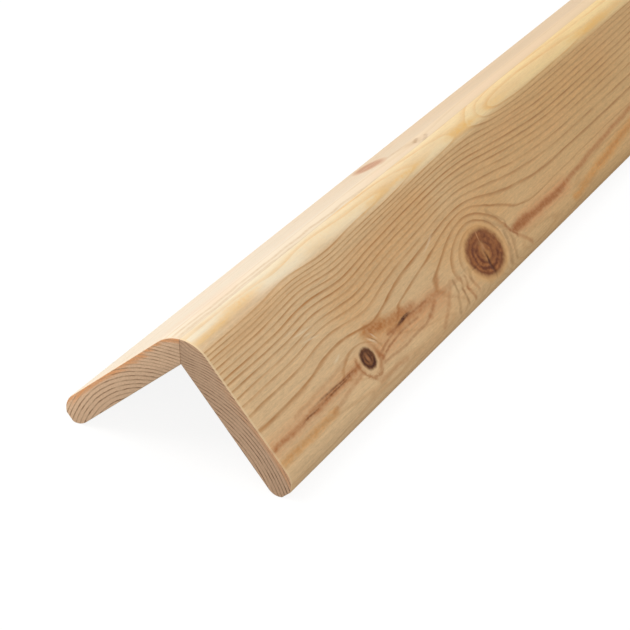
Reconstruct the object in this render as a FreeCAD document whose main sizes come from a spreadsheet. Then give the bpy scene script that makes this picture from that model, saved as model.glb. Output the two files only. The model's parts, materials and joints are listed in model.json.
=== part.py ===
import FreeCAD, Part
import math
import os
import Sketcher

# Wooden corner guard: two thin laths glued along a mitre into one rounded angle.
# It stands on the toes of its legs with the nose up. X runs across the legs and
# Y along the stock. The origin is on the floor, below the nose, at mid length.

# Driving dimensions, in millimetres and degrees
SIZES = (
    ("stock_length", 1200, "length that corner guards are sold in"),
    ("leg_width", 50, "outer corner, taken as sharp, to the end of a toe"),
    ("leg_thickness", 8, "planed thickness of both legs"),
    ("corner_angle", 90, "angle between the inner faces"),
    ("nose_radius", 10, "round of the outer corner"),
    ("toe_outer_radius", 5.5, "round from the outer face to the toe"),
    ("toe_outer_drop", 3, "how far that round goes down into the thickness"),
    ("toe_inner_radius", 4, "round from the inner face to the toe"),
    ("toe_inner_drop", 2, "how far that round goes up into the thickness"),
    ("seam_lean", 7, "lean of the glued seam to the left of the middle"),
)

doc = FreeCAD.newDocument("corner_guard")
sheet = doc.addObject("Spreadsheet::Sheet", "Sizes")
for row, (alias, value, meaning) in enumerate(SIZES, start=1):
    sheet.set("A%d" % row, alias)
    sheet.set("B%d" % row, str(value))
    sheet.setAlias("B%d" % row, alias)
    sheet.set("C%d" % row, meaning)
doc.recompute()

# Sizes that follow from the driving ones
HALF_ANGLE = "Sizes.corner_angle / 2"
TOE_REACH = "(Sizes.leg_width - Sizes.leg_thickness / tan(%s))" % HALF_ANGLE
OUTER_FACE_LENGTH = "(Sizes.leg_width - Sizes.nose_radius / tan(%s))" % HALF_ANGLE
INNER_ROUND_RUN = (
    "sqrt(Sizes.toe_inner_radius ^ 2"
    " - (Sizes.toe_inner_radius - Sizes.toe_inner_drop) ^ 2)"
)
CORNER_HEIGHT = (
    "(%s - %s) * cos(%s) + Sizes.toe_inner_radius * (1 - sin(%s))"
    % (TOE_REACH, INNER_ROUND_RUN, HALF_ANGLE, HALF_ANGLE)
)


def draw_section(sketch, side):
    """Draw the closed section of one lath.

    The inner corner is at the sketch origin, the inner face lies on the
    horizontal axis, and the toe points to the given side (1 right, -1 left).
    """
    width = float(sheet.leg_width)
    thick = float(sheet.leg_thickness)
    half = math.radians(float(sheet.corner_angle) / 2)
    lean = math.radians(float(sheet.seam_lean)) * side
    nose_r = float(sheet.nose_radius)
    outer_r = float(sheet.toe_outer_radius)
    outer_drop = float(sheet.toe_outer_drop)
    inner_r = float(sheet.toe_inner_radius)
    inner_drop = float(sheet.toe_inner_drop)

    reach = width - thick / math.tan(half)
    inner_turn = math.acos(1 - inner_drop / inner_r)
    outer_turn = math.acos(1 - outer_drop / outer_r)
    inner_tangent = reach - inner_r * math.sin(inner_turn)
    outer_tangent = reach - outer_r * math.sin(outer_turn)
    nose_tangent = (nose_r - thick) / math.tan(half)
    nose_low = thick - nose_r
    # the seam leaves the inner corner at this angle and ends on the nose's round
    seam = math.pi - half + lean
    along = nose_tangent * math.cos(seam) + nose_low * math.sin(seam)
    seam_length = along + math.sqrt(
        along ** 2 + nose_r ** 2 - nose_tangent ** 2 - nose_low ** 2
    )
    seam_u = seam_length * math.cos(seam)
    seam_v = seam_length * math.sin(seam)

    def point(u, v):
        return FreeCAD.Vector(side * u, v, 0)

    def round_edge(centre_u, centre_v, radius, start, end):
        """Arc from the start to the end angle, both measured in the lath's own sense."""
        middle = (start + end) / 2
        places = [
            point(centre_u + radius * math.cos(a), centre_v + radius * math.sin(a))
            for a in (start, middle, end)
        ]
        return Part.Arc(*places)

    right_angle = math.pi / 2
    seam_turn = math.atan2(seam_v - nose_low, seam_u - nose_tangent)
    edges = [
        Part.LineSegment(point(0, 0), point(inner_tangent, 0)),
        round_edge(inner_tangent, inner_r, inner_r, -right_angle, inner_turn - right_angle),
        Part.LineSegment(point(reach, inner_drop), point(reach, thick - outer_drop)),
        round_edge(
            outer_tangent, thick - outer_r, outer_r, right_angle - outer_turn, right_angle
        ),
        Part.LineSegment(point(outer_tangent, thick), point(nose_tangent, thick)),
        round_edge(nose_tangent, nose_low, nose_r, right_angle, seam_turn),
        Part.LineSegment(point(seam_u, seam_v), point(0, 0)),
    ]
    inner_face, inner_round, toe_end, outer_round, outer_face, nose, seam_edge = range(7)
    sketch.addGeometry(edges, False)

    # an arc's own start and end points swap when the section is mirrored
    begin, finish = (1, 2) if side > 0 else (2, 1)
    add = sketch.addConstraint
    add(Sketcher.Constraint("Coincident", inner_face, 1, -1, 1))
    add(Sketcher.Constraint("Tangent", inner_face, 2, inner_round, begin))
    add(Sketcher.Constraint("Coincident", inner_round, finish, toe_end, 1))
    add(Sketcher.Constraint("Coincident", toe_end, 2, outer_round, begin))
    add(Sketcher.Constraint("Tangent", outer_round, finish, outer_face, 1))
    add(Sketcher.Constraint("Tangent", outer_face, 2, nose, begin))
    add(Sketcher.Constraint("Coincident", nose, finish, seam_edge, 1))
    add(Sketcher.Constraint("Coincident", seam_edge, 2, -1, 1))
    add(Sketcher.Constraint("Horizontal", inner_face))
    add(Sketcher.Constraint("Vertical", toe_end))
    add(Sketcher.Constraint("Horizontal", outer_face))

    def size(name, expression, kind, *where):
        index = sketch.addConstraint(Sketcher.Constraint(kind, *where))
        sketch.renameConstraint(index, name)
        sketch.setExpression("Constraints." + name, expression)

    def across(first, first_end, second, second_end):
        """The two points in the order that makes their distance positive."""
        if side > 0:
            return first, first_end, second, second_end
        return second, second_end, first, first_end

    size("reach", TOE_REACH, "DistanceX", *across(-1, 1, toe_end, 1), reach)
    size("thickness", "Sizes.leg_thickness", "DistanceY", -1, 1, outer_face, 1, thick)
    size("inner_drop", "Sizes.toe_inner_drop", "DistanceY", -1, 1, toe_end, 1, inner_drop)
    size("inner_radius", "Sizes.toe_inner_radius", "Radius", inner_round, inner_r)
    size("outer_drop", "Sizes.toe_outer_drop", "DistanceY", toe_end, 2, outer_face, 1, outer_drop)
    size("outer_radius", "Sizes.toe_outer_radius", "Radius", outer_round, outer_r)
    size("nose_radius", "Sizes.nose_radius", "Radius", nose, nose_r)
    face = width - nose_r / math.tan(half)
    size("face", OUTER_FACE_LENGTH, "DistanceX", *across(outer_face, 2, toe_end, 2), face)
    # the seam's own angle runs from the nose down to the inner corner
    if side > 0:
        seam_expression = "(0 - %s + Sizes.seam_lean) * 1 deg" % HALF_ANGLE
        seam_angle = lean - half
    else:
        seam_expression = "(%s + Sizes.seam_lean - 180) * 1 deg" % HALF_ANGLE
        seam_angle = half - lean - math.pi
    size("seam", seam_expression, "Angle", seam_edge, seam_angle)


def make_lath(name, side):
    """One leg of the corner guard, padded along the stock and leaned to its side."""
    body = doc.addObject("PartDesign::Body", name)
    body.Label = name
    plane = next(f for f in body.Origin.OriginFeatures if f.Role == "XZ_Plane")
    sketch = body.newObject("Sketcher::SketchObject", name + "_section")
    sketch.AttachmentSupport = [(plane, "")]
    sketch.MapMode = "FlatFace"
    draw_section(sketch, side)
    pad = body.newObject("PartDesign::Pad", name + "_pad")
    pad.Profile = sketch
    pad.Midplane = True
    pad.setExpression("Length", "Sizes.stock_length")
    # a positive turn about Y tips the right leg down
    body.Placement.Rotation = FreeCAD.Rotation(FreeCAD.Vector(0, 1, 0), 0)
    tip = "(90 - %s) * 1 deg" % HALF_ANGLE
    if side < 0:
        tip = "(%s - 90) * 1 deg" % HALF_ANGLE
    body.setExpression("Placement.Rotation.Angle", tip)
    body.setExpression("Placement.Base.z", CORNER_HEIGHT)
    return body


laths = [make_lath("left_lath", -1), make_lath("right_lath", 1)]
doc.recompute()

for item in doc.Objects:
    if "Invalid" in item.State or "Error" in item.State:
        raise RuntimeError("%s failed: %s" % (item.Name, item.State))
for lath in laths:
    if lath.Shape.isNull() or not lath.Shape.isValid():
        raise RuntimeError("%s has no valid shape" % lath.Label)

os.makedirs("parts", exist_ok=True)
for lath in laths:
    lath.Shape.exportStep("parts/%s.step" % lath.Label)
    box = lath.Shape.BoundBox
    print(
        "%s: %d solid, volume %.1f, x %.3f to %.3f, y %.3f to %.3f, z %.3f to %.3f"
        % (
            lath.Label, len(lath.Shape.Solids), lath.Shape.Volume,
            box.XMin, box.XMax, box.YMin, box.YMax, box.ZMin, box.ZMax,
        )
    )
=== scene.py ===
"""Looks of a wooden corner guard: two planed pine laths glued along a mitre.

Inside a lath, places are in millimetres: u runs along its leg from the inner
corner to the toe, v runs through its thickness from the inner face outwards,
and y runs along the stock from the near end.
"""
import json
import math

import bpy
import numpy as np
from mathutils import Matrix, Vector


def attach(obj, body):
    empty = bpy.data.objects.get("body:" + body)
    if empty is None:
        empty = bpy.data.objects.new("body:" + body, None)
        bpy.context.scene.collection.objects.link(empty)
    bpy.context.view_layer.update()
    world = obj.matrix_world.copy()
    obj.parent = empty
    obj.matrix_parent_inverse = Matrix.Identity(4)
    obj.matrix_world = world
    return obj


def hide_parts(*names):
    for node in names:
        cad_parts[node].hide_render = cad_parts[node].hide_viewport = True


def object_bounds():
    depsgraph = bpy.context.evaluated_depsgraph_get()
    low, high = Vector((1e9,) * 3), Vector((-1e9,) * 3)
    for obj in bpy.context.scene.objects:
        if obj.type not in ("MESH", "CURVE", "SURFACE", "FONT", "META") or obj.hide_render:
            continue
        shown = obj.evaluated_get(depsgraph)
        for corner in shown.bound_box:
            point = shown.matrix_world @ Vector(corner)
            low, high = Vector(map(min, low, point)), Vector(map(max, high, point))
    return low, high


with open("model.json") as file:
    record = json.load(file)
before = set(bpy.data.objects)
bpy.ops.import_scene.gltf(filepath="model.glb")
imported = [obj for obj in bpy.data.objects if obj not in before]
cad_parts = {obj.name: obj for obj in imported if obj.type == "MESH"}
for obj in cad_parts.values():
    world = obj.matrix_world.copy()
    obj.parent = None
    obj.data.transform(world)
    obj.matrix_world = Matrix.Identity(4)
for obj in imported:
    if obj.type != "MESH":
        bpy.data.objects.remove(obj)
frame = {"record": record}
cad_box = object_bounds()

MM = 0.001
HALF_ROOT = math.sqrt(0.5)

# The stock's own sizes, in millimetres
LEG_WIDTH = 50.0
THICKNESS = 8.0
NOSE_RADIUS = 10.0
TOE_OUTER_RADIUS = 5.5
TOE_OUTER_DROP = 3.0
TOE_INNER_RADIUS = 4.0
TOE_INNER_DROP = 2.0
SEAM_LEAN = math.radians(7)
TOE_REACH = LEG_WIDTH - THICKNESS
# the nose's centre is this far along the leg, and as far below the inner face
NOSE_INSET = NOSE_RADIUS - THICKNESS

face_mount = next(m for m in frame["record"]["mounts"] if m["name"] == "inner_face_right")
CORNER_HEIGHT = (face_mount["pos_m"][0] + face_mount["pos_m"][2]) / MM
NEAR_END = cad_box[0].y / MM
STOCK_LENGTH = (cad_box[1].y - cad_box[0].y) / MM
NEAR_CORNER = Vector((0, NEAR_END, CORNER_HEIGHT)) * MM

# The easing round each sawn end, in mm, and the share of it, inwards and along the stock,
# where the middle point of its rounded profile lies
ARRIS = 0.35
ARRIS_CORNER = 0.3

# Mesh steps, in millimetres; the fine one is near knots and cracks
INNER_STEP = 2.0
OUTER_STEP = 1.6
LENGTH_STEP = 6.0
FINE_STEP = 0.4
# how far past a knot's rim, and past a crack's ends, the steps are fine
FINE_PAST_KNOT = 2.0
FINE_PAST_CRACK = 1.0
# flat parts that each curve of the section has
TOE_INNER_PARTS = 9
TOE_OUTER_PARTS = 11
NOSE_PARTS = 16
SEAM_PARTS = 6
# edges that turn by more than this are shown sharp
SHARP_TURN = math.radians(35)

# What the wood shows, for each lath.
# side: 1 on the right, -1 on the left
# mottle: how uneven the face's colour is
# pith, the tree's middle: u, v
# spacing, mm from ring to ring: outside and inside the ring that touches the outer face
# phase: how far into its year that ring is
# fold, where the rings bend along the whole length: u, run across, height
# swell, where a branch lifts the rings: y, u, run before it, run after it,
#     run across, lean (mm of y for each mm of u), height
# knot: y, u, half length, half width, lean, kind
# mark: kind, y and u of its start, y and u of its end, half width, strength
# colour: with two values, it changes from the near end's to that of the rest
# edge glow: how much painted light glows orange in the sawn end's outer edge, at the corner and at
# the toe
LATHS = {
    "right_lath": {
        "side": 1,
        "mottle": 1.0,
        "slot": "honey_pine",
        "pith": (29.5, -34.0),
        "spacing": (0.75, 1.0),
        "phase": 0.507,
        "folds": [(-0.6, 3.0, -0.5), (-8.0, 4.4, 1.7)],
        "swells": [
            (140, 8, 54, 34, 42, -0.65, 1.7),
            (131, 31, 15, 11.5, 10.8, 0, 3.2),
            (128, 46, 22, 17, 10, 0, 2.6),
            (54.7, 30.5, 8, 8, 6, 0, 0.6),
            (45, 14, 13, 13, 30, 0, 0.35),
            (45, 3, 18, 14, 5, 0, 0.45),
            (66, 16, 13, 13, 20, 0, -0.4),
            (212, 10, 32, 90, 10, 0, -0.75),
            (230, 38, 67, 90, 7.9, 0, 2.3),
            (107, -2.5, 18, 16, 4.0, 0, -0.40),
            (164, -2.2, 16, 12, 4.0, 0, 1.08),
            (285, -4.0, 75, 60, 4.6, 0, 1.15),
            (452, 12, 9, 9, 8, 0, 1.0),
            (640, 33, 17, 17, 12, 0, 2.2),
            (905, 21, 10, 10, 8, 0, 1.1),
        ],
        "knots": [
            (131, 31.2, 10.9, 7.5, 0, "red"),
            (54.7, 30.2, 3.6, 3.5, 0, "dark"),
            (452, 12, 3.2, 2.9, 0, "dark"),
            (640, 33, 6.4, 4.8, 0, "red"),
            (905, 21, 3.9, 3.3, 0, "dark"),
        ],
        "marks": [
            # the streak before the small knot, and the fine checks in it
            ("blush", 0, 30.6, 50, 30.2, 2.4, 0.50),
            ("resin", 0, 30.8, 22, 30.7, 0.70, 0.70),
            ("resin", 22, 30.6, 50, 30.0, 0.90, 0.80),
            ("resin", 16, 28.4, 46, 26.4, 0.55, 0.30),
            ("resin", 30, 34.6, 49, 32.2, 0.60, 0.40),
            ("check", 17, 30.9, 25, 30.6, 0.26, 0.60),
            ("check", 26, 29.5, 46, 29.8, 0.24, 0.60),
            ("check", 29, 30.5, 45, 30.2, 0.24, 0.60),
            ("amber", 0, 35.1, 30, 34.6, 1.2, 0.70),
            # between the two knots
            ("resin", 58.6, 28.4, 60.4, 32.6, 0.8, 0.60),
            ("resin", 62, 24.8, 67, 25.4, 1.8, 0.80),
            ("resin", 67, 25.6, 84, 27.8, 1.5, 0.65),
            ("blush", 62, 30.4, 98, 31.4, 3.4, 0.60),
            ("resin", 70, 28.8, 98, 30.4, 1.3, 0.55),
            ("resin", 98, 30.6, 112, 31.4, 0.8, 0.30),
            ("check", 74.6, 28.9, 81.6, 28.7, 0.50, 1.15),
            ("vein", 68, 29.0, 92, 29.4, 0.36, 0.60),
            ("vein", 59, 31.9, 65, 30.6, 0.40, 0.65),
            ("vein", 65, 30.6, 72, 29.4, 0.36, 0.55),
            ("vein", 60, 33.1, 66, 31.8, 0.40, 0.65),
            ("vein", 66, 31.8, 74, 31.0, 0.36, 0.65),
            ("vein", 74, 31.0, 84, 31.4, 0.36, 0.55),
            ("vein", 60, 34.3, 72, 34.8, 0.38, 0.50),
            ("vein", 72, 34.8, 86, 34.3, 0.38, 0.50),
            ("vein", 86, 34.3, 94, 32.2, 0.42, 0.50),
            ("resin", 54, 37.2, 69, 37.7, 0.70, 0.35),
            ("resin", 90, 33.6, 97, 30.8, 0.85, 0.50),
            ("resin", 97, 30.8, 103, 26.8, 0.75, 0.40),
            ("resin", 93, 38.8, 101, 34.6, 0.70, 0.40),
            ("resin", 101, 34.6, 107, 30.6, 0.70, 0.40),
            # painted shadow lines before the big knot
            ("grey", 103.6, 38.8, 107.4, 34.4, 0.60, 0.50),
            ("grey", 107.4, 34.4, 108.6, 31.2, 0.55, 0.60),
            ("grey", 109.6, 38.4, 110.6, 35.0, 0.60, 0.65),
            ("vein", 110.6, 35.0, 112.8, 32.2, 0.50, 0.40),
            ("resin", 114.2, 38.6, 113.2, 35.6, 0.65, 0.60),
            ("vein", 113.2, 35.6, 115.2, 32.4, 0.50, 0.45),
            ("resin", 117.4, 37.4, 116.8, 34.4, 0.70, 0.40),
            ("grey", 116.8, 34.4, 119.0, 32.0, 0.60, 0.50),
            # past the big knot
            # painted shadow lines beside the big knot
            ("grey", 140.6, 38.6, 143.6, 35.4, 0.90, 0.50),
            ("grey", 143.6, 35.4, 146.0, 31.0, 0.80, 0.55),
            ("grey", 144.8, 38.4, 148.0, 33.6, 0.80, 0.45),
            ("grey", 141.0, 24.4, 146.4, 29.4, 0.70, 0.40),
            ("grey", 144, 22.6, 149.0, 28.0, 0.60, 0.40),
            ("vein", 148.6, 29.8, 151.0, 33.8, 0.55, 0.75),
            ("resin", 151.0, 33.8, 156.5, 38.8, 0.65, 0.50),
            ("resin", 152.5, 32.2, 160, 32.4, 1.5, 0.90),
            ("vein", 152.5, 32.2, 161, 32.5, 1.3, 0.65),
            ("vein", 161, 32.7, 188, 33.4, 0.9, 0.50),
            ("resin", 160, 32.7, 186, 33.2, 1.1, 0.75),
            ("blush", 158, 32.5, 190, 33.2, 2.6, 0.70),
            ("resin", 186, 33.2, 215, 31.2, 0.85, 0.70),
            ("resin", 215, 31.2, 258, 29.3, 0.75, 0.65),
            ("resin", 258, 29.3, 345, 28.4, 0.60, 0.55),
            ("amber", 193, 38.4, 215, 36.2, 1.3, 0.85),
            ("amber", 215, 36.2, 255, 33.0, 1.6, 0.85),
            ("resin", 215, 36.0, 255, 33.2, 0.6, 0.35),
            ("amber", 255, 33.0, 350, 32.0, 1.3, 0.60),
            # chips and torn fibres, with painted highlights where they catch the light
            ("pale", 33.0, 12.8, 42.0, 13.4, 0.22, 0.55),
            ("pale", 35.0, 15.4, 42.5, 16.4, 0.24, 0.60),
            ("pale", 37.0, 14.2, 41.0, 14.7, 0.22, 0.55),
            ("pale", 30.0, 11.0, 35.5, 11.2, 0.20, 0.35),
            ("pale", 59.4, 25.9, 61.4, 28.6, 0.36, 0.60),
            ("pale", 61.5, 25.4, 62.9, 27.6, 0.30, 0.50),
            ("check", 60.4, 26.0, 62.2, 28.4, 0.22, 0.55),
            ("pale", 41.6, 24.9, 45.0, 24.1, 0.34, 0.55),
            ("pale", 105.0, 19.0, 113.5, 16.2, 0.40, 0.35),
            # cracks in the big knot
            ("dust", 132.6, 24.6, 131.8, 28.0, 0.30, 0.70),
            ("dust", 131.7, 28.2, 131.2, 30.8, 0.60, 0.70),
            ("check", 131.0, 30.8, 129.8, 37.8, 0.70, 1.1),
            ("check", 120.2, 32.5, 125.4, 32.2, 0.26, 0.45),
            # a warmer ground where the rings crowd, and towards the toe
            ("amber", 62, 15, 112, 8, 6.5, 0.35),
            ("amber", 150, 12, 250, 10, 8.0, 0.20),
            ("amber", 114, 21, 148, 21, 6.0, 0.30),
            ("amber", 61, 24.8, 68, 25.6, 2.2, 0.80),
            ("amber", 68, 26.0, 77, 27.6, 2.2, 0.60),
            # gold where a ring only grazes the nose
            ("gold", -6, -2.4, 22, -2.6, 0.8, 0.40),
            ("gold", 12, -3.0, 36, -3.4, 1.0, 0.60),
            ("gold", 48, -3.6, 128, -3.4, 2.2, 0.25),
            ("gold", 92, -1.9, 110, -1.7, 0.9, 0.60),
            ("gold", 110, -2.0, 131, -1.6, 0.9, 0.65),
            ("gold", 150, -2.0, 171, -1.5, 1.2, 0.80),
            ("gold", 174, -1.7, 192, -1.2, 1.1, 0.40),
            ("gold", 248, -1.0, 281, -0.3, 1.1, 0.90),
        ],
        "colours": {
            "early": ((240, 204, 157), (224, 183, 128)),
            "late": ((192, 132, 74), (178, 120, 64)),
            # on the nose: paler sapwood, and partly painted light where it faces the lamps
            "early_nose": ((255, 240, 212), (255, 225, 167)),
            "late_nose": ((242, 200, 136), (238, 188, 122)),
            "cloud": (224, 175, 122),
            "end_early": (200, 167, 138),
            "end_late": (96, 64, 46),
            # edge: the colour of the painted light glowing in the sawn end's outer edge
            "edge": (204, 146, 100),
            # the painted highlight on the eased edges of the sawn ends
            "arris": (255, 226, 184),
        },
        "edge_glow": (0.15, 0.70),
    },
    "left_lath": {
        "side": -1,
        "mottle": 0.35,
        "slot": "pale_pine",
        "pith": (27.0, -23.0),
        "spacing": (0.95, 1.15),
        "phase": 0.2,
        "folds": [(-6.0, 4.0, 0.8)],
        "swells": [
            (141, 13, 30, 30, 16, 0, 1.6),
            (418, 24, 16, 16, 12, 0, 1.8),
            (722, 13, 9, 9, 8, 0, 1.0),
            (1015, 30, 13, 13, 10, 0, 1.4),
        ],
        "knots": [
            (142.5, 17, 6.2, 16.5, 1.0, "flush"),
            (418, 24, 6.4, 5.0, 0, "red"),
            (722, 13, 3.2, 2.9, 0, "dark"),
            (1015, 30, 4.8, 4.0, 0, "flush"),
        ],
        "marks": [
            ("faint", 126, 3.0, 142, -2.6, 1.6, 0.60),
            ("faint", 0, -2.5, 60, -3.0, 0.40, 0.60),
            ("faint", 60, -3.0, 92, -3.8, 0.40, 0.60),
            ("faint", 92, -3.8, 120, -5.0, 0.40, 0.50),
            ("faint", 0, -3.8, 50, -4.1, 0.35, 0.55),
            ("faint", 50, -4.1, 86, -5.4, 0.35, 0.60),
            # painted shadow lines beside the flush knot
            ("grey", 141, -2.8, 144, -1.8, 0.5, 0.45),
            ("grey", 144, -4.4, 148, -3.2, 0.5, 0.40),
        ],
        "colours": {
            "early": ((250, 236, 216), (234, 207, 173)),
            "late": ((238, 214, 182), (226, 196, 160)),
            # on the nose: paler sapwood, and partly painted light where it faces the lamps
            "early_nose": ((252, 236, 212), (240, 212, 176)),
            "late_nose": ((240, 216, 180), (228, 198, 156)),
            "cloud": (240, 208, 178),
            "end_early": (221, 187, 155),
            "end_late": (132, 98, 72),
            # edge: the colour of the painted light glowing in the sawn end's outer edge
            "edge": (222, 154, 100),
            # the painted highlight on the eased edges of the sawn ends
            "arris": (246, 226, 198),
        },
        "edge_glow": (0.80, 0.85),
    },
}

# Marks are stains and warmer grounds (blush, amber), gold bands on the nose, faint lines on
# the pale lath, resin streaks, painted shadow lines beside the knots and thin veins, and breaks
# in the surface: cracks, filled with dust or open (check) and partly dark with painted shade,
# and torn fibres whose painted highlights stand for the light they catch (pale)
MARK_COLOURS = {
    "blush": (223, 158, 106),
    "amber": (226, 162, 90),
    "gold": (250, 200, 120),
    "faint": (222, 192, 154),
    "resin": (184, 112, 58),
    # painted shadow lines beside the knots
    "grey": (170, 126, 84),
    "vein": (170, 106, 60),
    # open cracks: their dark is partly the crack's own, partly painted shade of a crack deeper
    # than its relief
    "check": (86, 40, 8),
    # chips and torn fibres: partly their shallow relief, partly painted highlight
    "pale": (255, 236, 204),
    "dust": (216, 160, 112),
}
# which kinds are painted before the rings' dark lines, before the knots, and last
UNDER_RINGS = ("blush", "amber")
UNDER_KNOTS = ("gold", "faint", "resin", "grey", "vein")
OVER_KNOTS = ("dust", "check", "pale")
# these end in points
TAPERED = ("dust", "check", "pale", "gold")

# gap is the spacing of a knot's own rings, soft the width of its edge, dish how far its
# face has shrunk below the wood, and groove the depth of the gap round it, all in mm
KNOTS = {
    "red": {
        "dark": (114, 57, 22), "light": (182, 116, 64), "middle": (204, 146, 88),
        "rim": (152, 94, 50), "halo": (234, 180, 116), "gap": 1.7, "soft": 1.9,
        "dish": 0.05, "groove": 0.0,
    },
    "dark": {
        "dark": (74, 33, 8), "light": (150, 96, 54), "middle": (184, 126, 82),
        "rim": (90, 46, 18), "halo": (238, 198, 150), "gap": 1.4, "soft": 0.9,
        "dish": 0.10, "groove": 0.08,
    },
    "flush": {
        "dark": (200, 148, 116), "light": (220, 174, 140), "middle": (224, 180, 146),
        "rim": (214, 168, 134), "halo": (240, 208, 172), "gap": 1.1, "soft": 9.0,
        "dish": 0.02, "groove": 0.0,
    },
}
# how deep the surface is broken along a mark, in mm
BROKEN = {"dust": 0.05, "check": 0.10, "pale": 0.05}
# how narrow a crack's relief may be, and the most that anything is sunk, in mm
NARROWEST_CRACK = 0.22
DEEPEST = 0.35
# where a knot's dish ends, how wide its slope is and where the groove lies, in shares of
# the way from the knot's middle to its rim
DISH_END = 1.12
DISH_SLOPE = 0.30
GROOVE_AT = 1.04
# the groove's width, and that of the lighter wood round a knot, in mm
GROOVE_WIDTH = 0.35
HALO_WIDTH = 2.2
# the colours of a loose knot's bark and of the glue in the seam
BARK = (178, 112, 60)
GLUE = (132, 92, 62)


def linear(rgb):
    """A colour's linear values, from its eight-bit ones."""
    shares = [c / 255 for c in rgb]
    return [c / 12.92 if c <= 0.04045 else ((c + 0.055) / 1.055) ** 2.4 for c in shares]


class Val:
    """A number or colour worked out by a material's nodes, written as plain arithmetic."""

    def __init__(self, tree, socket):
        self.tree = tree
        self.socket = socket

    def __add__(self, other):
        return arithmetic("ADD", self, other)

    def __sub__(self, other):
        return arithmetic("SUBTRACT", self, other)

    def __rsub__(self, other):
        return arithmetic("SUBTRACT", other, self)

    def __mul__(self, other):
        return arithmetic("MULTIPLY", self, other)

    def __truediv__(self, other):
        return arithmetic("DIVIDE", self, other)


def tree_of(*values):
    """The node tree that works out these values."""
    return next(v.tree for v in values if isinstance(v, Val))


def feed(tree, value, slot):
    """Put a Val, a number or a colour into a node's input."""
    if isinstance(value, Val):
        tree.links.new(value.socket, slot)
    elif isinstance(value, (tuple, list)) and len(value) == 3 and len(slot.default_value) == 4:
        slot.default_value = (*value, 1)
    else:
        slot.default_value = value


def arithmetic(operation, *values):
    """The result of one Math node."""
    tree = tree_of(*values)
    node = tree.nodes.new("ShaderNodeMath")
    node.operation = operation
    for value, slot in zip(values, node.inputs):
        feed(tree, value, slot)
    return Val(tree, node.outputs[0])


def square(x):
    return arithmetic("MULTIPLY", x, x)


def root(x):
    return arithmetic("SQRT", x)


def floor(x):
    return arithmetic("FLOOR", x)


def size_of(x):
    return arithmetic("ABSOLUTE", x)


def sine(x):
    return arithmetic("SINE", x)


def least(a, b):
    return arithmetic("MINIMUM", a, b)


def most(a, b):
    return arithmetic("MAXIMUM", a, b)


def bell(x):
    """One at zero, falling off smoothly to both sides; x is already squared."""
    return arithmetic("EXPONENT", x * -1.0)


def step(x, start, end):
    """A smooth change from nought at start to one at end."""
    node = x.tree.nodes.new("ShaderNodeMapRange")
    node.interpolation_type = "SMOOTHSTEP"
    feed(x.tree, x, node.inputs["Value"])
    feed(x.tree, start, node.inputs["From Min"])
    feed(x.tree, end, node.inputs["From Max"])
    return Val(x.tree, node.outputs[0])


def share(x, start, end, low=0.0, high=1.0):
    """A straight change from low at start to high at end, held beyond them."""
    node = x.tree.nodes.new("ShaderNodeMapRange")
    for value, slot in zip((x, start, end, low, high), node.inputs):
        feed(x.tree, value, slot)
    return Val(x.tree, node.outputs[0])


def mix(first, second, factor):
    """The first colour turning into the second as factor goes from nought to one."""
    # inputs 6 and 7 and output 2 of this node are the ones for colours
    node = factor.tree.nodes.new("ShaderNodeMix")
    node.data_type = "RGBA"
    feed(factor.tree, factor, node.inputs[0])
    feed(factor.tree, first, node.inputs[6])
    feed(factor.tree, second, node.inputs[7])
    return Val(factor.tree, node.outputs[2])


def lighten(colour, amount):
    """The colour made lighter, or darker, by a share of itself."""
    node = colour.tree.nodes.new("ShaderNodeVectorMath")
    node.operation = "SCALE"
    feed(colour.tree, colour, node.inputs[0])
    feed(colour.tree, amount + 1.0, node.inputs["Scale"])
    return Val(colour.tree, node.outputs["Vector"])


def point(x, y, z):
    """Three numbers as one vector, such as a place to look noise up at."""
    tree = tree_of(x, y, z)
    node = tree.nodes.new("ShaderNodeCombineXYZ")
    for value, slot in zip((x, y, z), node.inputs):
        feed(tree, value, slot)
    return Val(tree, node.outputs[0])


def noise(where, detail=2.0, roughness=0.5):
    """Soft noise round nought, from about -0.5 to 0.5."""
    node = where.tree.nodes.new("ShaderNodeTexNoise")
    feed(where.tree, where, node.inputs["Vector"])
    node.inputs["Scale"].default_value = 1.0
    node.inputs["Detail"].default_value = detail
    node.inputs["Roughness"].default_value = roughness
    return Val(where.tree, node.outputs["Fac"]) - 0.5


def wood_noise(u, v, y, across, along, detail, roughness=0.5, shift=None):
    """Noise in the wood, with so many grains to a mm across the stock and along it."""
    y = y * along
    return noise(point(u * across, v * across, y + shift if shift else y), detail, roughness)


def chance(number):
    """A value from nought to one that differs from one whole number to the next."""
    node = number.tree.nodes.new("ShaderNodeTexWhiteNoise")
    node.noise_dimensions = "1D"
    feed(number.tree, number, node.inputs["W"])
    return Val(number.tree, node.outputs["Value"])


def ring_number(lath, u, v, y):
    """How many growth rings lie between here and a set one, counted outwards."""
    pith_u, pith_v = lath["pith"]
    outer, inner = lath["spacing"]
    beyond = root(square(u - pith_u) + square(v - pith_v)) - (THICKNESS - pith_v)
    number = most(beyond, 0.0) / outer + least(beyond, 0.0) / inner + lath["phase"]
    for at_u, across, height in lath["folds"]:
        number = number - bell(square((u - at_u) / across)) * (height / outer)
    for at_y, at_u, before, after, across, lean, height in lath["swells"]:
        off = y - at_y - u * lean if lean else y - at_y
        if after == before:
            along = square(off / before)
        else:
            along = square(least(off, 0.0) / before + most(off, 0.0) / after)
        number = number - bell(along + square((u - at_u) / across)) * (height / outer)
    drift = wood_noise(u, v, y, 0.25, 0.03, detail=1.0) * 0.22
    return number + drift + wood_noise(u, v, y, 0.8, 0.08, detail=1.0) * 0.16


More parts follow.
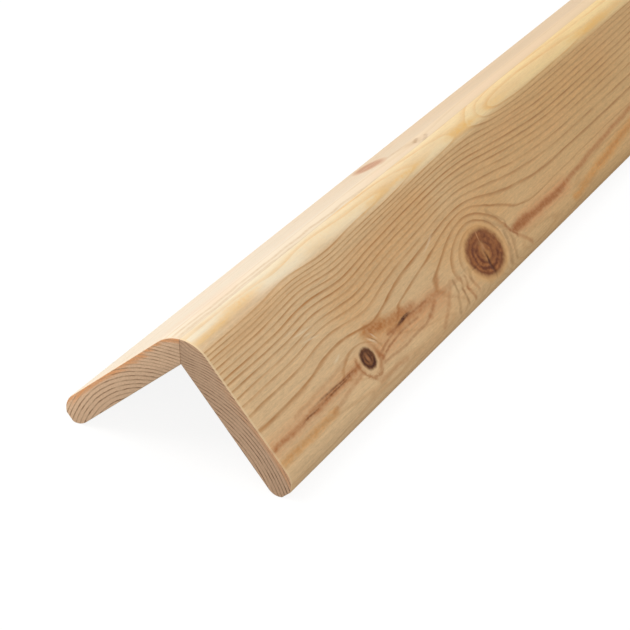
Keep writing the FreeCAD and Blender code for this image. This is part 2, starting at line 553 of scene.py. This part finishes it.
def late_wood(lath, ring, u, v, y, end_face):
    """The dark late wood of each ring, thin where a face cuts the rings along their tops."""
    year = floor(ring)
    grown = ring - year
    steep = share(size_of(u - lath["pith"][0]), 1.0, 12.0)
    by_knot = step(knot_reach(lath, lath["knots"][0], u, v, y), 2.4, 1.5)
    on_nose = step(u, 0.5, -2.5)
    toe_side = step(u, 27.0, 34.0) * (1.0 - end_face)
    # the part of a year after which its late wood begins: earlier, and so a broader line,
    # where the rings are cut steeply, on the ends, beside the first knot and on the nose
    begin = chance(year + 91.0) * 0.16 - most(most(steep, end_face), by_knot) * 0.30
    begin = begin - by_knot * 0.12 - on_nose * 0.12 + 0.74
    late = step(grown, begin, 0.90) * step(grown, 1.0, 0.90)
    late = late * (1.0 - on_nose * 0.25) * (1.0 - toe_side * 0.7)
    # lines differ from year to year, come and go along the stock, and fade towards the far end
    wavering = noise(point(ring * 0.9, 11.0, y * 0.07), detail=2.0) * 1.6
    fading = share(y, 120.0, 280.0, 1.0, 0.75)
    return late * (chance(year + 37.0) * 0.4 + wavering + 0.55) * fading


def below_surface(u, v):
    """Depth under the outer face and the nose, in millimetres."""
    return NOSE_RADIUS - root(square(least(u - NOSE_INSET, 0.0)) + square(v + NOSE_INSET))


def knot_reach(lath, knot, u, v, y):
    """Distance from a knot's middle, where one is its rim; it tapers to the pith."""
    at_y, at_u, half_length, half_width, lean, _kind = knot
    pith_u, pith_v = lath["pith"]
    depth = (v - pith_v) / (THICKNESS - pith_v)
    off_u = (u - pith_u) - depth * (at_u - pith_u)
    off_y = y - at_y - off_u * lean if lean else y - at_y
    return root(square(off_u / half_width) + square(off_y / half_length)) / depth


def stroke_distance(u, y, start, end, tapered=None):
    """Distance of a place from the straight stroke between two others.

    A tapered stroke is given its half width, has it in the middle only, and ends in points.
    """
    (y0, u0), (y1, u1) = start, end
    if abs(u1 - u0) > abs(y1 - y0):
        u, u0, u1, y, y0, y1 = y, y0, y1, u, u0, u1
    slant = abs(y1 - y0) / math.hypot(y1 - y0, u1 - u0)
    if tapered:
        aside = (u - (y - y0) * ((u1 - u0) / (y1 - y0)) - u0) * slant
        beyond = (y - (y0 + y1) / 2) * (2 * tapered / abs(y1 - y0))
        return root(square(aside) + square(beyond))
    aside = (u - share(y, y0, y1, u0, u1)) * slant
    # past its ends a stroke fades more slowly than beside it
    beyond = (y - share(y, y0, y1, y0, y1)) * 0.6
    return root(square(aside) + square(beyond))


def add_marks(lath, kind, colour, u, y, shown):
    """Lay the lath's marks of one kind over a colour."""
    total = None
    for name, y0, u0, y1, u1, width, strength in lath["marks"]:
        if name == kind:
            tapered = width if kind in TAPERED else None
            off = stroke_distance(u, y, (y0, u0), (y1, u1), tapered)
            here = step(off, width * 1.7, width * 0.2) * strength
            total = here if total is None else most(total, here)
    if total is None:
        return colour
    return mix(colour, linear(MARK_COLOURS[kind]), total * shown)


def add_knot(lath, knot, colour, u, v, y, mottle):
    """Paint a knot over the wood round it."""
    at_y, at_u, half_length, half_width, _lean, kind = knot
    look = KNOTS[kind]
    tones = {key: linear(value) for key, value in look.items() if isinstance(value, tuple)}
    aside = (u - at_u) / half_width
    ahead = (y - at_y) / half_length
    # its edge wobbles by a share of its size and a little more
    wobble = wood_noise(u, v, y, 0.45, 0.45, detail=3.0, roughness=0.6, shift=at_y)
    reach = knot_reach(lath, knot, u, v, y) + wobble * (0.16 + 0.6 / half_width)

    # its own rings show most on the near lower side, where lower is one
    lower = share(aside * 1.2 - ahead, -1.3, 1.3)
    years = half_width / look["gap"]
    ripple = sine(reach * (years * 2 * math.pi)) * (lower * 0.40 + 0.05)
    blotch = wood_noise(u, v, y, 0.6, 0.35, detail=3.0, roughness=0.6, shift=at_u) * 1.7 + mottle
    core = mix(tones["dark"], tones["light"], ripple + blotch + 0.34)
    slim = root(square(aside * 1.5) + square(ahead * 3.2))
    core = mix(core, tones["middle"], step(slim + blotch * 0.7, 0.95, 0.2) * 0.75)
    core = mix(core, tones["rim"], step(reach, 0.70, 0.95) * 0.55)

    colour = mix(colour, tones["halo"], step(reach, 1.0 + HALO_WIDTH / half_width, 1.0) * 0.6)
    if kind == "dark":
        # a loose knot's bark leaves a brown line on one side, and the other side gets a painted
        # shade beside its rim
        line = bell(square((reach + mottle * 0.6 - 1.55) / 0.18))
        line = line * step(lower + mottle, 0.5, 0.9)
        shade = bell(square((reach - 1.4) / 0.25)) * step(aside * 0.6 + ahead, 0.6, 1.5)
        colour = mix(colour, linear(BARK), most(line * 0.7, shade * 0.6))
    soft = look["soft"] / half_width
    return mix(colour, core, step(reach, 1.0 + soft * 0.4, 1.0 - soft * 0.8))


def end_grain(lath, tones, late, ring, u, v, y):
    """The sawn end's colour and open pores: it is darker, with painted light glowing along its
    outer edge.
    """
    pores = step(wood_noise(u, v, y, 1.8, 0.8, detail=5.0, roughness=0.8), -0.22, 0.22) - 0.5
    patches = wood_noise(u, v, y, 0.35, 0.1, detail=2.0)
    shown = late * (patches * 3.0 + pores * 0.5 + 0.85)
    colour = mix(tones["end_early"], tones["end_late"], shown)
    # painted light glows in the outer edge to a depth that differs, where the saw tore it, from
    # ring to ring
    depth = below_surface(u, v)
    torn = noise(point(ring * 0.6, depth * 0.2, 2.0), detail=1.0)
    at_corner, at_toe = lath["edge_glow"]
    glow = share(u, 6.0, TOE_REACH, at_corner, at_toe)
    glow = step(depth + torn * 5.0 + pores * 0.6, 1.9, 0.1) * glow
    colour = mix(colour, tones["edge"], glow * (1.0 - late * 0.8))
    toeward = share(u, -6.0, TOE_REACH, -0.09, 0.09)
    return lighten(colour, pores * 0.26 + patches * 0.16 + toeward), pores


def lath_place(tree, lath):
    """Where a shaded point is in its lath: u, v and y, and how far it faces an end."""
    source = tree.nodes.new("ShaderNodeTexCoord")
    parts = tree.nodes.new("ShaderNodeSeparateXYZ")
    tree.links.new(source.outputs["Object"], parts.inputs[0])
    facing = tree.nodes.new("ShaderNodeSeparateXYZ")
    tree.links.new(source.outputs["Normal"], facing.inputs[0])
    x, along, z = (Val(tree, s) for s in parts.outputs)
    out = x * (lath["side"] / MM)
    up = z / MM - CORNER_HEIGHT
    u = (out - up) * HALF_ROOT
    v = (out + up) * HALF_ROOT
    y = along / MM - NEAR_END
    return u, v, y, size_of(Val(tree, facing.outputs[1]))


def lath_tones(lath, y):
    """The lath's linear colours, those with two values changing along the stock."""
    change = step(y, 10.0, 250.0)
    tones = {}
    for key, value in lath["colours"].items():
        if isinstance(value[0], tuple):
            tones[key] = mix(linear(value[0]), linear(value[1]), change)
        else:
            tones[key] = linear(value)
    return tones


def wood(name, lath):
    """Solid pine: growth rings, fibres, knots and marks, cut by whatever surface shows."""
    material = bpy.data.materials.new(name)
    material.use_nodes = True
    tree = material.node_tree
    shader = tree.nodes["Principled BSDF"]
    u, v, y, endwards = lath_place(tree, lath)
    end_face = step(endwards, 0.72, 0.92)
    tones = lath_tones(lath, y)
    ring = ring_number(lath, u, v, y)
    late = late_wood(lath, ring, u, v, y, end_face)

    # fibres run along the stock: broad streaks, fine ones, and short dark dashes
    fibres = wood_noise(u, v, y, 1.8, 0.06, detail=4.0, roughness=0.65)
    fine = wood_noise(u, v, y, 2.2, 0.5, detail=4.0, roughness=0.75)
    dashes = step(wood_noise(u, v, y, 4.0, 0.13, detail=1.0, shift=40.0), 0.20, 0.34)
    cloudy = wood_noise(u, v, y, 0.12, 0.018, detail=2.0)
    mottle = wood_noise(u, v, y, 0.9, 0.7, detail=4.0, roughness=0.6)

    # marks lie near the surface, waver along the stock and are broken up by the fibres
    near_surface = step(below_surface(u, v), 2.2, 0.6)
    shown = near_surface * (fibres * 0.8 + mottle * 1.6 + fine * 0.5 + 0.85)
    wavy_u = u + noise(point(u * 0.10, 7.0, y * 0.09), detail=1.0) * 1.2 + fibres * 0.5
    wavy_y = y + noise(point(u * 0.30, 3.0, y * 0.20), detail=1.0) * 2.0

    # the nose is paler: partly paler sapwood, partly painted light where it faces the lamps
    nose_edge = share(y, 60.0, 240.0, 0.6, 2.6)
    toward_nose = step(u, nose_edge, nose_edge - 3.0)
    colour = mix(tones["early"], tones["early_nose"], toward_nose)
    for kind in UNDER_RINGS:
        colour = add_marks(lath, kind, colour, wavy_u, wavy_y, shown)
    dark_lines = mix(tones["late"], tones["late_nose"], toward_nose)
    colour = mix(colour, dark_lines, late * (fibres * 0.8 + 0.95))
    colour = mix(colour, tones["cloud"], step(cloudy, -0.05, 0.30) * 0.45)
    uneven = (fibres * 0.42 + fine * 0.50 - dashes * 0.10) * (1.0 - toward_nose * 0.5)
    colour = lighten(colour, uneven * lath["mottle"] + cloudy * 0.12)
    for kind in UNDER_KNOTS:
        colour = add_marks(lath, kind, colour, wavy_u, wavy_y, shown)
    for knot in lath["knots"]:
        colour = add_knot(lath, knot, colour, u, v, y, mottle)
    for kind in OVER_KNOTS:
        colour = add_marks(lath, kind, colour, wavy_u, wavy_y, shown)

    # the eased edge of a sawn end has a painted highlight, lighter than both faces that it parts
    end_colour, pores = end_grain(lath, tones, late, ring, u, v, y)
    from_end = least(y, STOCK_LENGTH - y)
    arris = most(step(endwards, 0.15, 0.5), step(from_end, 0.9, 0.5))
    colour = mix(colour, tones["arris"], arris * share(u, 4.0, TOE_REACH, 0.80, 0.30))
    colour = mix(colour, end_colour, end_face)

    # a hair of glue shows where the laths meet, most of all on the ends
    seam = seam_angle(lath["side"])
    from_seam = u * math.sin(seam) - v * math.cos(seam)
    glue = step(from_seam, 0.16, 0.04) * (end_face * 0.5 + 0.12)
    colour = mix(colour, linear(GLUE), glue)

    feed(tree, colour, shader.inputs["Base Color"])
    feed(tree, end_face * 0.25 - late * 0.08 + 0.55, shader.inputs["Roughness"])
    shader.inputs["Specular IOR Level"].default_value = 0.2

    bump = tree.nodes.new("ShaderNodeBump")
    bump.inputs["Strength"].default_value = 0.4
    bump.inputs["Distance"].default_value = 0.06 * MM
    height = fibres * 0.5 + fine * 0.4 - late * 0.3 + end_face * pores * 0.4
    feed(tree, height, bump.inputs["Height"])
    tree.links.new(bump.outputs[0], shader.inputs["Normal"])
    return material


def seam_angle(side):
    """The glued seam's direction in a lath's section, turning from u towards v."""
    return 3 * math.pi / 4 + SEAM_LEAN * side


def spread(start, end, coarse, fine=None, spots=()):
    """Numbers from start to end, a coarse step apart, and a fine one near the spots.

    A spot is a place and the half width of what lies there.
    """
    hair = 1e-6
    found = [start]
    while found[-1] < end - hair:
        here = found[-1]
        near = any(abs(here - at) < half for at, half in spots)
        gap = fine if near else coarse
        ahead = [at - half - here for at, half in spots if here < at - half]
        if not near and ahead and min(ahead) < gap:
            gap = max(min(ahead), fine)
        found.append(min(here + gap, end))
    # a last step that is very short is joined to the one before
    if len(found) > 2 and found[-1] - found[-2] < 0.3 * (found[-2] - found[-3]):
        del found[-2]
    return found


def arc(centre, radius, start, end, parts):
    """Points along an arc of so many flat parts, its ends included."""
    angles = np.linspace(start, end, parts + 1)
    return [(centre[0] + radius * math.cos(a), centre[1] + radius * math.sin(a)) for a in angles]


def section(side, spots):
    """A lath's outline, from the inner corner round by its toe and nose to its seam."""
    right = math.pi / 2
    inner_turn = math.acos(1 - TOE_INNER_DROP / TOE_INNER_RADIUS)
    outer_turn = math.acos(1 - TOE_OUTER_DROP / TOE_OUTER_RADIUS)
    inner_tangent = TOE_REACH - TOE_INNER_RADIUS * math.sin(inner_turn)
    outer_tangent = TOE_REACH - TOE_OUTER_RADIUS * math.sin(outer_turn)
    seam = seam_angle(side)
    along = NOSE_INSET * math.cos(seam) - NOSE_INSET * math.sin(seam)
    seam_length = along + math.sqrt(along ** 2 + NOSE_RADIUS ** 2 - 2 * NOSE_INSET ** 2)
    seam_end = (seam_length * math.cos(seam), seam_length * math.sin(seam))
    seam_turn = math.atan2(seam_end[1] + NOSE_INSET, seam_end[0] - NOSE_INSET)

    inner = [(u, 0.0) for u in spread(0.0, inner_tangent, INNER_STEP)]
    toe_in = arc(
        (inner_tangent, TOE_INNER_RADIUS), TOE_INNER_RADIUS,
        -right, inner_turn - right, TOE_INNER_PARTS,
    )
    toe_out = arc(
        (outer_tangent, THICKNESS - TOE_OUTER_RADIUS), TOE_OUTER_RADIUS,
        right - outer_turn, right, TOE_OUTER_PARTS,
    )
    across = spread(NOSE_INSET, outer_tangent, OUTER_STEP, FINE_STEP, spots)
    outer = [(u, THICKNESS) for u in reversed(across)]
    nose = arc((NOSE_INSET, -NOSE_INSET), NOSE_RADIUS, right, seam_turn, NOSE_PARTS)
    down = [(seam_end[0] * t, seam_end[1] * t) for t in np.linspace(1, 0, SEAM_PARTS + 1)]
    return np.array(inner + toe_in[1:] + toe_out + outer[1:] + nose[1:] + down[1:-1])


def inset(outline, depth):
    """The outline moved inwards all round, but kept on the seam there."""
    ahead = np.roll(outline, -1, axis=0) - outline
    behind = outline - np.roll(outline, 1, axis=0)
    tangent = ahead / np.linalg.norm(ahead, axis=1)[:, None]
    tangent += behind / np.linalg.norm(behind, axis=1)[:, None]
    tangent /= np.linalg.norm(tangent, axis=1)[:, None]
    moved = outline + depth * np.stack([-tangent[:, 1], tangent[:, 0]], 1)
    # the seam's ends slide along it: the top by the depth, the square inner corner by its diagonal
    top = len(outline) - SEAM_PARTS
    down = outline[0] - outline[top]
    down /= np.linalg.norm(down)
    moved[top] = outline[top] + depth * down
    moved[top + 1:] = outline[top + 1:]
    moved[0] = outline[0] - depth * 1.4 * down
    return moved


def to_frame(side, uv, y):
    """Frame coordinates, in metres, of places in a lath."""
    u, v = uv[:, 0], uv[:, 1]
    x = side * (u + v) * HALF_ROOT
    z = (v - u) * HALF_ROOT + CORNER_HEIGHT
    return np.stack([x, np.full(len(uv), y + NEAR_END), z], 1) * MM


def stroke_distances(u, y, start, end):
    """Distances of many places from the straight stroke between two others."""
    (y0, u0), (y1, u1) = start, end
    run = (y1 - y0) ** 2 + (u1 - u0) ** 2
    along = np.clip(((y - y0) * (y1 - y0) + (u - u0) * (u1 - u0)) / run, 0, 1)
    return np.hypot(y - y0 - along * (y1 - y0), u - u0 - along * (u1 - u0))


def sunk(lath, u, y):
    """How far knots, cracks and chips lie below the planed face, in millimetres."""
    depth = np.zeros(len(u))
    for at_y, at_u, half_length, half_width, lean, kind in lath["knots"]:
        off_y = y - at_y - (u - at_u) * lean
        reach = np.hypot((u - at_u) / half_width, off_y / half_length)
        depth += KNOTS[kind]["dish"] * np.clip((DISH_END - reach) / DISH_SLOPE, 0, 1)
        off_groove = (reach - GROOVE_AT) * half_width / GROOVE_WIDTH
        depth += KNOTS[kind]["groove"] * np.exp(-off_groove ** 2)
    for kind, y0, u0, y1, u1, width, strength in lath["marks"]:
        if kind in BROKEN:
            off = stroke_distances(u, y, (y0, u0), (y1, u1)) / max(width, NARROWEST_CRACK)
            depth += BROKEN[kind] * strength * np.exp(-off ** 2)
    return np.minimum(depth, DEEPEST)


def relief_spots(lath):
    """Where the mesh has to be fine, across the face and along the stock."""
    across = []
    along = []
    for at_y, at_u, half_length, half_width, _lean, _kind in lath["knots"]:
        across.append((at_u, half_width + FINE_PAST_KNOT))
        along.append((at_y, half_length + FINE_PAST_KNOT))
    for kind, y0, _u0, y1, _u1, _width, _strength in lath["marks"]:
        if kind in BROKEN and y1 > y0:
            along.append(((y0 + y1) / 2, (y1 - y0) / 2 + FINE_PAST_CRACK))
    return across, along


def lath_loops(lath):
    """The lath's outline, and that outline at each place along the stock: (u and v, y)."""
    spots_across, spots_along = relief_spots(lath)
    outline = section(lath["side"], spots_across)
    eased = inset(outline, ARRIS)
    half_eased = inset(outline, ARRIS * ARRIS_CORNER)
    # relief is cut into the flat outer face only, short of the nose
    on_face = np.isclose(outline[:, 1], THICKNESS) & (outline[:, 0] > NOSE_INSET + 0.1)
    loops = [(eased, 0.0), (half_eased, ARRIS * ARRIS_CORNER)]
    for y in spread(ARRIS, STOCK_LENGTH - ARRIS, LENGTH_STEP, FINE_STEP, spots_along):
        shape = outline.copy()
        shape[on_face, 1] -= sunk(lath, outline[on_face, 0], y)
        loops.append((shape, y))
    loops += [(half_eased, STOCK_LENGTH - ARRIS * ARRIS_CORNER), (eased, STOCK_LENGTH)]
    return outline, loops


def make_lath(name, lath):
    """A lath of wood in its solid's place: its outline run along the stock, with both ends."""
    side = lath["side"]
    outline, loops = lath_loops(lath)
    # a point in the middle of each end, from which the end's faces fan out
    middle = outline.mean(axis=0, keepdims=True)
    ends = [(middle, 0.0), (middle, STOCK_LENGTH)]
    points = np.concatenate([to_frame(side, uv, y) for uv, y in loops + ends])

    count = len(outline)
    after = [(i + 1) % count for i in range(count)]
    faces = []
    for k in range(len(loops) - 1):
        a = k * count
        b = a + count
        faces += [(a + i, b + i, b + j, a + j) for i, j in enumerate(after)]
    side_faces = len(faces)
    near_middle = len(loops) * count
    far_middle = near_middle + 1
    far_loop = near_middle - count
    faces += [(near_middle, i, j) for i, j in enumerate(after)]
    faces += [(far_middle, far_loop + j, far_loop + i) for i, j in enumerate(after)]
    if side < 0:
        faces = [face[::-1] for face in faces]

    mesh = bpy.data.meshes.new(name + "_wood")
    mesh.from_pydata(points.tolist(), [], faces)
    mesh.update()
    mesh.shade_smooth()
    for face in mesh.polygons[side_faces:]:
        face.use_smooth = False
    mesh.set_sharp_from_angle(angle=SHARP_TURN)
    lay_out(mesh, outline, loops, middle[0], side_faces)
    piece = bpy.data.objects.new(name + "_wood", mesh)
    bpy.context.scene.collection.objects.link(piece)
    mesh.materials.append(wood(name + "_pine", lath))
    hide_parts(name)
    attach(piece, "root")


def lay_out(mesh, outline, loops, middle, side_faces):
    """Lay the lath's skin out flat in three rows, with both ends above them."""
    rows = 3
    gap = 2.0
    ends_from = 8.0
    ends_apart = LEG_WIDTH + 10.0
    count = len(outline)
    steps = np.linalg.norm(np.roll(outline, -1, axis=0) - outline, axis=1)
    girth = np.concatenate([[0], np.cumsum(steps)])
    row_length = STOCK_LENGTH / rows
    row_height = girth[count] + gap
    scale = 1 / (row_length + 2 * gap)
    layer = mesh.uv_layers.new(name="OFBake")
    spots = np.zeros((len(mesh.loops), 2))
    for face in mesh.polygons:
        if face.index < side_faces:
            k, i = divmod(face.index, count)
            row = min(int((loops[k][1] + loops[k + 1][1]) / 2 / row_length), rows - 1)
            for loop in face.loop_indices:
                level, spot = divmod(mesh.loops[loop].vertex_index, count)
                across = girth[spot] if spot >= i else girth[count]
                y = loops[level][1] - row * row_length
                spots[loop] = (gap + y, gap + across + row * row_height)
        else:
            far = (face.index - side_faces) // count
            for loop in face.loop_indices:
                vertex = mesh.loops[loop].vertex_index
                on_rim = vertex < len(loops) * count
                u, v = loops[-1][0][vertex % count] if on_rim else middle
                spots[loop] = (
                    gap + ends_from + u + far * ends_apart,
                    gap * 2 + v + rows * row_height,
                )
    layer.data.foreach_set("uv", (spots * scale).ravel())


def add_node(tree, kind, **inputs):
    """A new node with values for some of its inputs."""
    node = tree.nodes.new(kind)
    for name, value in inputs.items():
        node.inputs[name].default_value = value
    return node


def white_floor():
    """A floor that is white to the camera, keeps the shadow, and lights the wood from below."""
    mesh = bpy.data.meshes.new("floor")
    reach = 8.0
    corners = [(-reach, -reach, 0), (reach, -reach, 0), (reach, reach, 0), (-reach, reach, 0)]
    mesh.from_pydata(corners, [], [(0, 1, 2, 3)])
    floor_object = bpy.data.objects.new("floor", mesh)
    bpy.context.scene.collection.objects.link(floor_object)
    material = bpy.data.materials.new("white_floor")
    material.use_nodes = True
    tree = material.node_tree
    tree.nodes.remove(tree.nodes["Principled BSDF"])
    # the camera sees glow and lit matt, together just white, and darker in the shadow
    matt = add_node(tree, "ShaderNodeBsdfDiffuse", Color=(0.15, 0.15, 0.15, 1))
    glow = add_node(tree, "ShaderNodeEmission", Strength=0.89)
    seen = add_node(tree, "ShaderNodeAddShader")
    plain = add_node(tree, "ShaderNodeBsdfDiffuse", Color=(0.52, 0.52, 0.51, 1))
    path = add_node(tree, "ShaderNodeLightPath")
    choice = add_node(tree, "ShaderNodeMixShader")
    tree.links.new(matt.outputs[0], seen.inputs[0])
    tree.links.new(glow.outputs[0], seen.inputs[1])
    tree.links.new(path.outputs["Is Camera Ray"], choice.inputs[0])
    tree.links.new(plain.outputs[0], choice.inputs[1])
    tree.links.new(seen.outputs[0], choice.inputs[2])
    tree.links.new(choice.outputs[0], tree.nodes["Material Output"].inputs[0])
    mesh.materials.append(material)


def sky():
    """A sky that is white where it is seen, directly or in a gloss, and lights more softly."""
    world = bpy.data.worlds.new("white_studio")
    bpy.context.scene.world = world
    world.use_nodes = True
    tree = world.node_tree
    seen = tree.nodes["Background"]
    seen.inputs["Color"].default_value = (1, 1, 1, 1)
    seen.inputs["Strength"].default_value = 1.0
    soft = add_node(tree, "ShaderNodeBackground", Color=(1.0, 0.98, 0.95, 1), Strength=0.58)
    path = add_node(tree, "ShaderNodeLightPath")
    rays = ("Is Camera Ray", "Is Glossy Ray", "Is Transmission Ray")
    camera_ray, glossy_ray, through_ray = (Val(tree, path.outputs[ray]) for ray in rays)
    choice = add_node(tree, "ShaderNodeMixShader")
    feed(tree, most(most(camera_ray, glossy_ray), through_ray), choice.inputs[0])
    tree.links.new(soft.outputs[0], choice.inputs[1])
    tree.links.new(seen.outputs[0], choice.inputs[2])
    tree.links.new(choice.outputs[0], tree.nodes["World Output"].inputs[0])


def soft_lamp(name, direction, distance, size, power, colour=(1, 1, 1)):
    """A square lamp that shines on the near corner from one direction."""
    data = bpy.data.lights.new(name, "AREA")
    data.size = size
    data.energy = power
    data.color = colour
    lamp = bpy.data.objects.new(name, data)
    lamp.location = NEAR_CORNER + Vector(direction).normalized() * distance
    lamp.rotation_euler = Vector(direction).to_track_quat("Z", "Y").to_euler()
    bpy.context.scene.collection.objects.link(lamp)


def camera():
    """The photograph's view: over the near end, looking along the stock and down."""
    turn = math.radians(-25.14)
    fall = math.radians(29.59)
    roll = math.radians(5.2)
    # the camera's place from the near corner, in metres
    aside = 0.03365
    above = 0.01245
    behind = 0.56535
    flat = math.cos(fall)
    ahead = Vector((math.sin(turn) * flat, math.cos(turn) * flat, -math.sin(fall)))
    level = Vector((math.cos(turn), -math.sin(turn), 0))
    over = level.cross(ahead)
    right = level * math.cos(roll) + over * math.sin(roll)
    up = over * math.cos(roll) - level * math.sin(roll)
    place = NEAR_CORNER + right * aside + up * above - ahead * behind
    data = bpy.data.cameras.new("camera")
    data.sensor_width = 36
    data.lens = 129.0
    data.clip_start = 0.01
    view = bpy.data.objects.new("camera", data)
    turned = Matrix((right, up, -ahead)).transposed().to_4x4()
    view.matrix_world = Matrix.Translation(place) @ turned
    bpy.context.scene.collection.objects.link(view)
    bpy.context.scene.camera = view


for lath_name, lath_facts in LATHS.items():
    make_lath(lath_name, lath_facts)
white_floor()
sky()
soft_lamp(
    "key", direction=(-0.62, -0.30, 0.72), distance=1.5,
    size=1.1, power=13.2, colour=(1.0, 0.97, 0.92),
)
soft_lamp("front", direction=(0.3, -1.0, 0.35), distance=2.2, size=1.2, power=5.0)
camera()
bpy.context.scene.view_settings.view_transform = "Standard"
